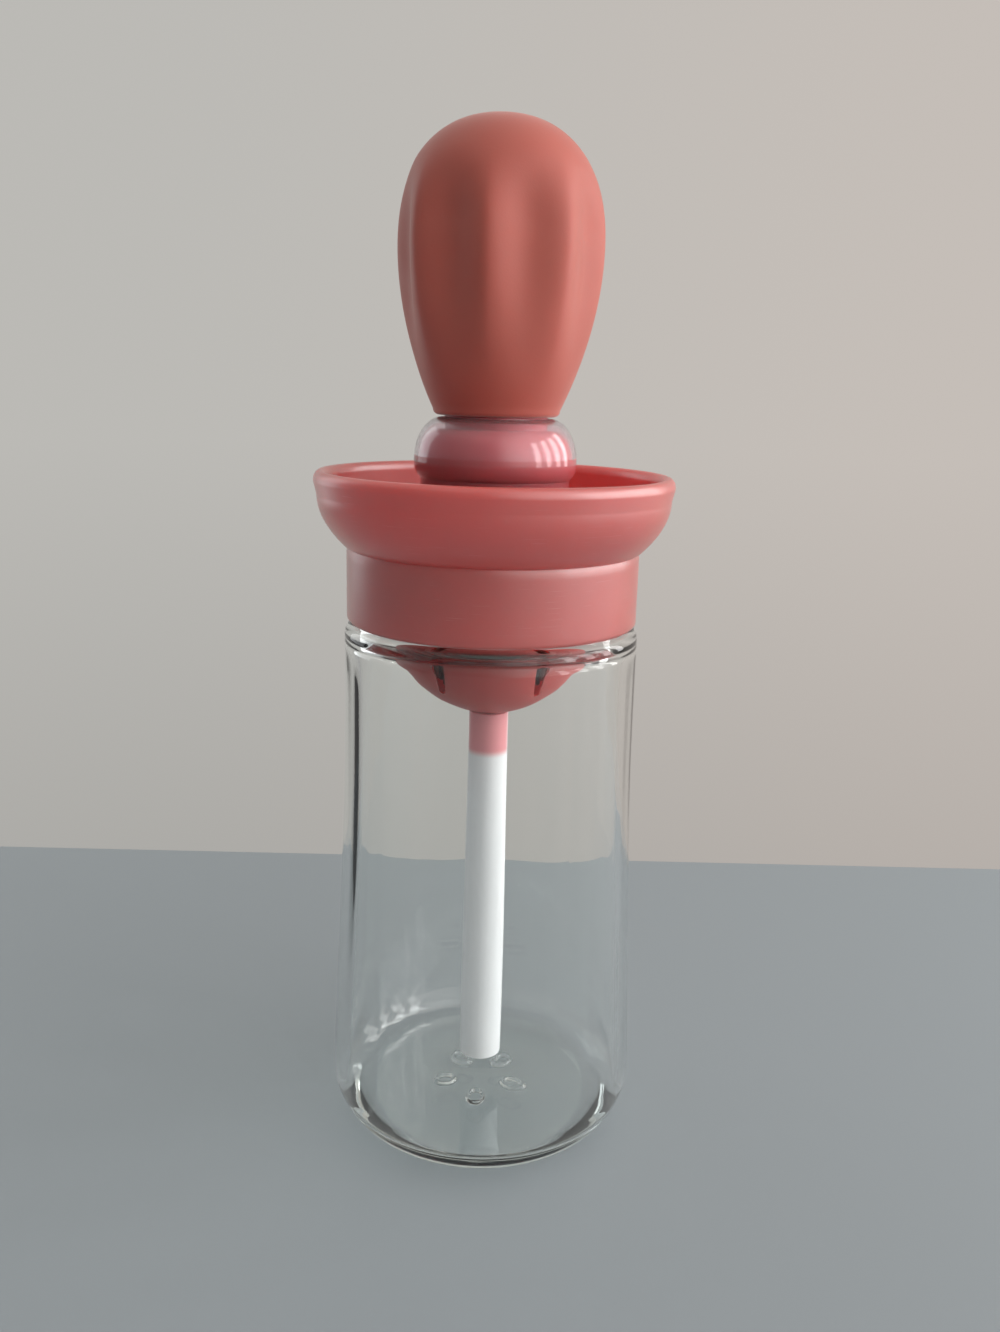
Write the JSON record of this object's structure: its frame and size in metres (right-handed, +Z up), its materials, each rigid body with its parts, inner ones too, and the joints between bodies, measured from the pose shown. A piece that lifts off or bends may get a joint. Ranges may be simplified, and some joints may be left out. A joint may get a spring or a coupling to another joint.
{
  "type": "pump bottle",
  "caption": "Glass oil bottle with a screw cap and drip dish, a dip straw and a lift-out silicone brush head pumped by a fluted squeeze bulb.",
  "frame": {"origin": "centre of the bottle's foot, on the surface it stands on", "axes": "+Z up along the bottle's axis; -Y faces the camera of the picture, +X is to its right"},
  "size_m": [0.069, 0.069, 0.1995],
  "materials": {
    "clear_glass": "thick clear pressed glass with a faint green edge",
    "pale_silicone": "soft pale silicone",
    "coral_plastic": "matte moulded coral-pink polypropylene with fine scuffs",
    "milky_plastic": "translucent milky plastic tube",
    "clear_plastic": "clear glossy moulded plastic",
    "coral_silicone": "matte coral-pink silicone"
  },
  "bodies": {
    "bottle": {"glass_bottle": "clear_glass"},
    "seal": {"cap_gasket": "pale_silicone"},
    "cap": {"screw_cap": "coral_plastic", "brush_cup": "coral_plastic", "dip_straw": "milky_plastic"},
    "head": {"oil_chamber": "clear_plastic", "brush_head": "coral_silicone"},
    "bulb": {"squeeze_bulb": "coral_silicone"}
  },
  "joints": [
    {"name": "cap_rise", "type": "slide", "parent": "bottle", "child": "seal", "axis": [0, 0, 1], "range_m": [0, 0.0081]},
    {"name": "cap_turn", "type": "hinge", "parent": "seal", "child": "cap", "pos_m": [0, 0, 0.1215], "axis": [0, 0, 1], "range_deg": [0, 720]},
    {"name": "head_lift", "type": "slide", "parent": "cap", "child": "head", "axis": [0, 0, 1], "range_m": [0, 0.06]},
    {"name": "bulb_press", "type": "slide", "parent": "head", "child": "bulb", "axis": [0, 0, -1], "range_m": [0, 0.012], "stiffness_N_per_m": 700, "deforming": ["squeeze_bulb"]}
  ],
  "couplings": [
    {"joint": "cap_rise", "follows": "cap_turn", "m_per_rad": 0.00063662}
  ]
}
